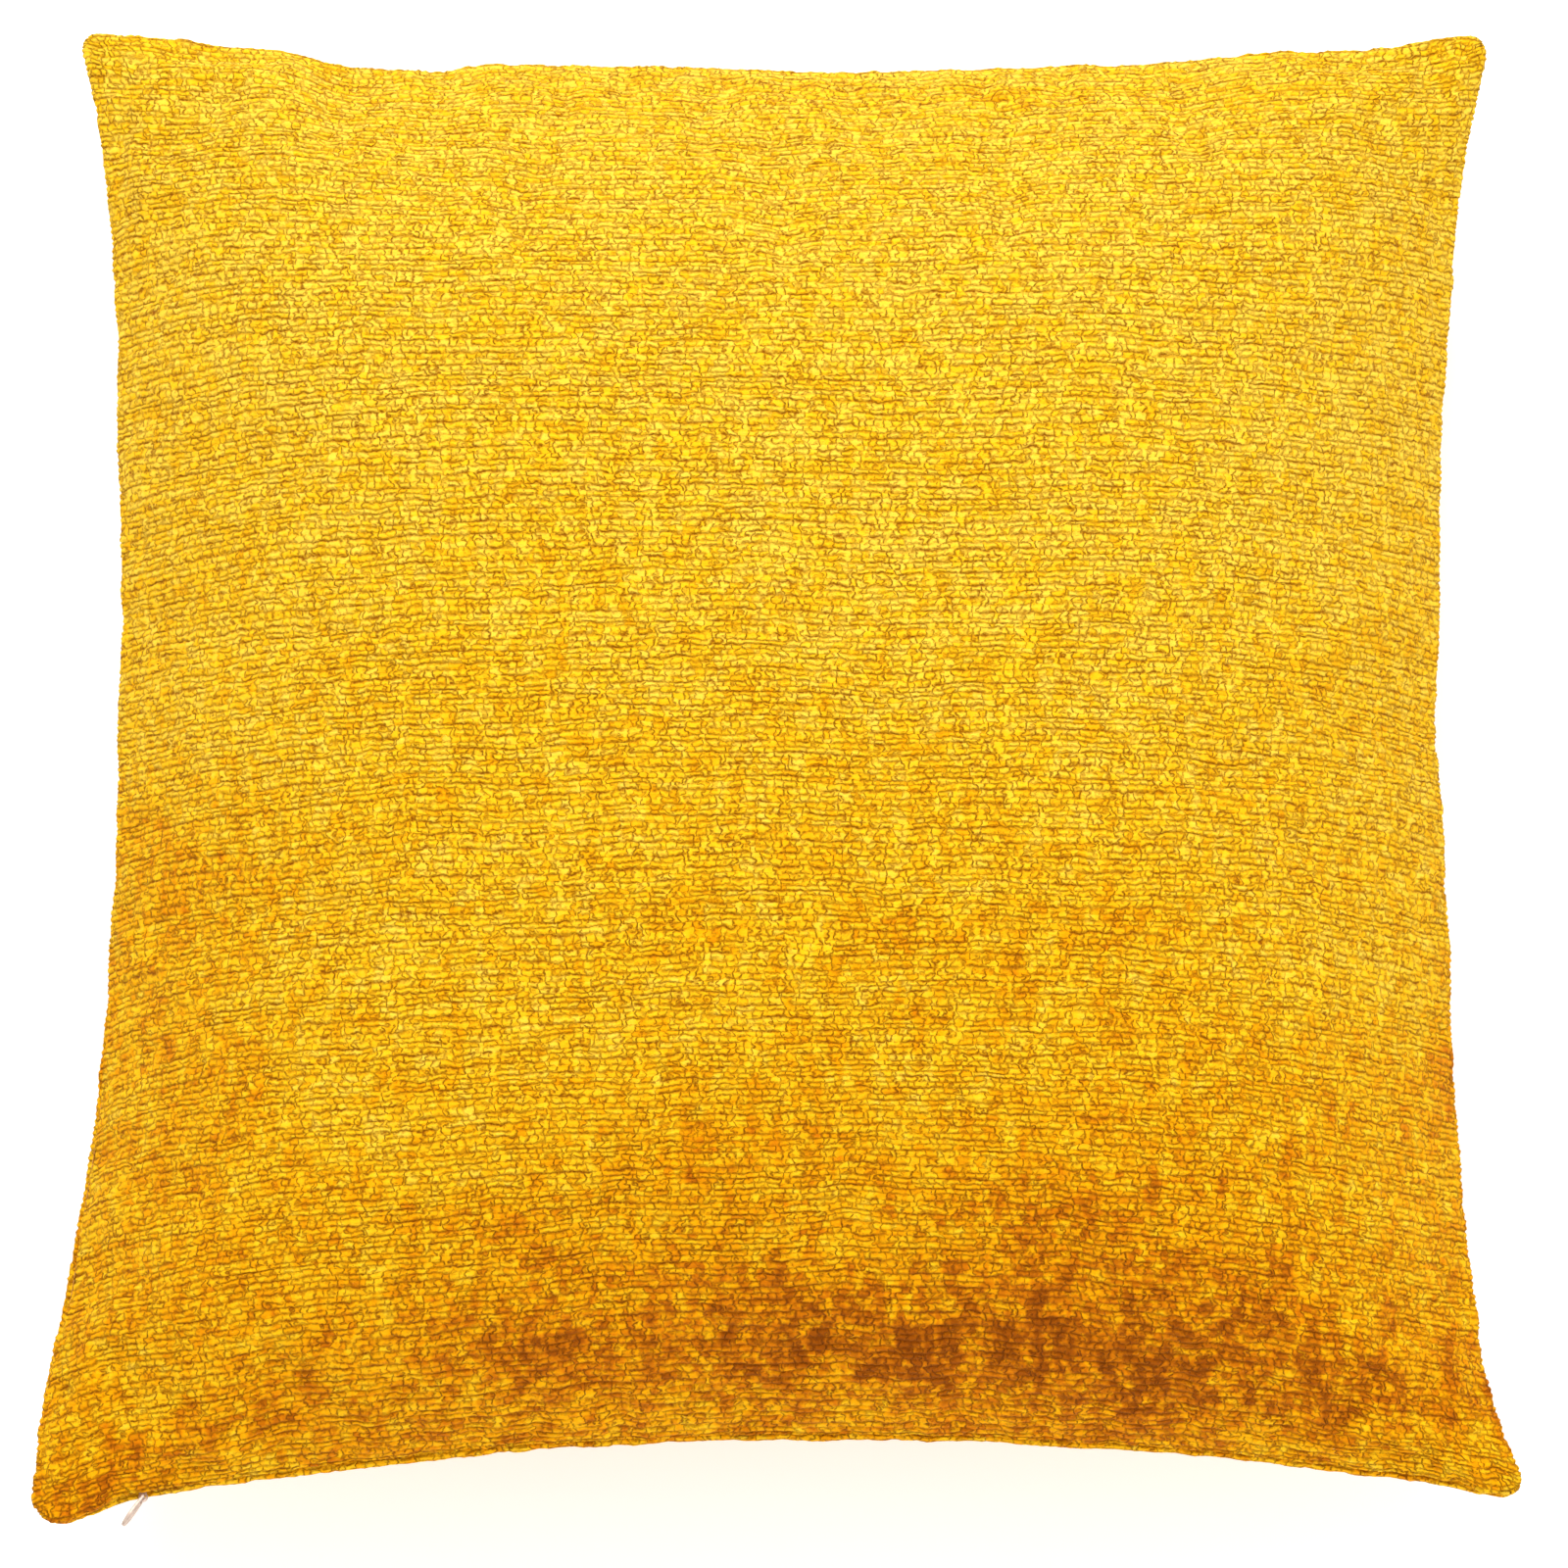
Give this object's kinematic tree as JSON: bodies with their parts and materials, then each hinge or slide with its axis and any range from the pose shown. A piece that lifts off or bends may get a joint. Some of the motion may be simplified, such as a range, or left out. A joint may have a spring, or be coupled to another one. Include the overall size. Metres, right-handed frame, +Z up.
{
  "type": "throw pillow",
  "caption": "Square knife-edge chenille throw pillow with a concealed zip in one edge, a sliding zip slider and a swinging pull, over a filled insert.",
  "frame": {"origin": "middle of the flat patch of the back panel that the pillow lies on", "axes": "+Z up out of the front panel's crown, +X along the zip towards its open end, +Y from the zip edge to the opposite edge"},
  "size_m": [0.4968, 0.5087, 0.1645],
  "materials": {
    "chenille": "matte",
    "sewing_thread": "matte",
    "zip_tape": "matte",
    "zip_coil": "satin",
    "zip_stop": "satin",
    "slider_metal": "satin",
    "insert_cloth": "matte",
    "insert_thread": "matte",
    "filling": "matte"
  },
  "bodies": {
    "cushion": {"front_panel": "chenille", "back_panel": "chenille", "seam_thread_left": "sewing_thread", "seam_thread_top": "sewing_thread", "seam_thread_right": "sewing_thread", "seam_thread_bottom_left": "sewing_thread", "seam_thread_bottom_right": "sewing_thread", "zip_tape_front": "zip_tape", "zip_tape_back": "zip_tape", "zip_stitch_front": "sewing_thread", "zip_stitch_back": "sewing_thread", "zip_coil_front": "zip_coil", "zip_coil_back": "zip_coil", "zip_top_stop_front": "zip_stop", "zip_top_stop_back": "zip_stop", "zip_bottom_stop": "zip_stop", "insert_front_panel": "insert_cloth", "insert_back_panel": "insert_cloth", "insert_filling": "filling", "insert_seam_thread": "insert_thread", "insert_closing_thread": "insert_thread"},
    "slider": {"slider_body": "slider_metal"},
    "pull": {"pull_tab": "slider_metal"}
  },
  "joints": [
    {"name": "slider_travel", "type": "hinge", "parent": "cushion", "child": "slider", "pos_m": [0, -1.601, 0.0782], "axis": [0, 0, -1], "range_deg": [0, 17.5], "deforming": ["zip_coil_front", "zip_coil_back"]},
    {"name": "pull_swing", "type": "hinge", "parent": "slider", "child": "pull", "pos_m": [-0.21563, -0.24664, 0.07891], "axis": [-0.0481, 0.3053, 0.9511], "range_deg": [-30, 132]}
  ]
}
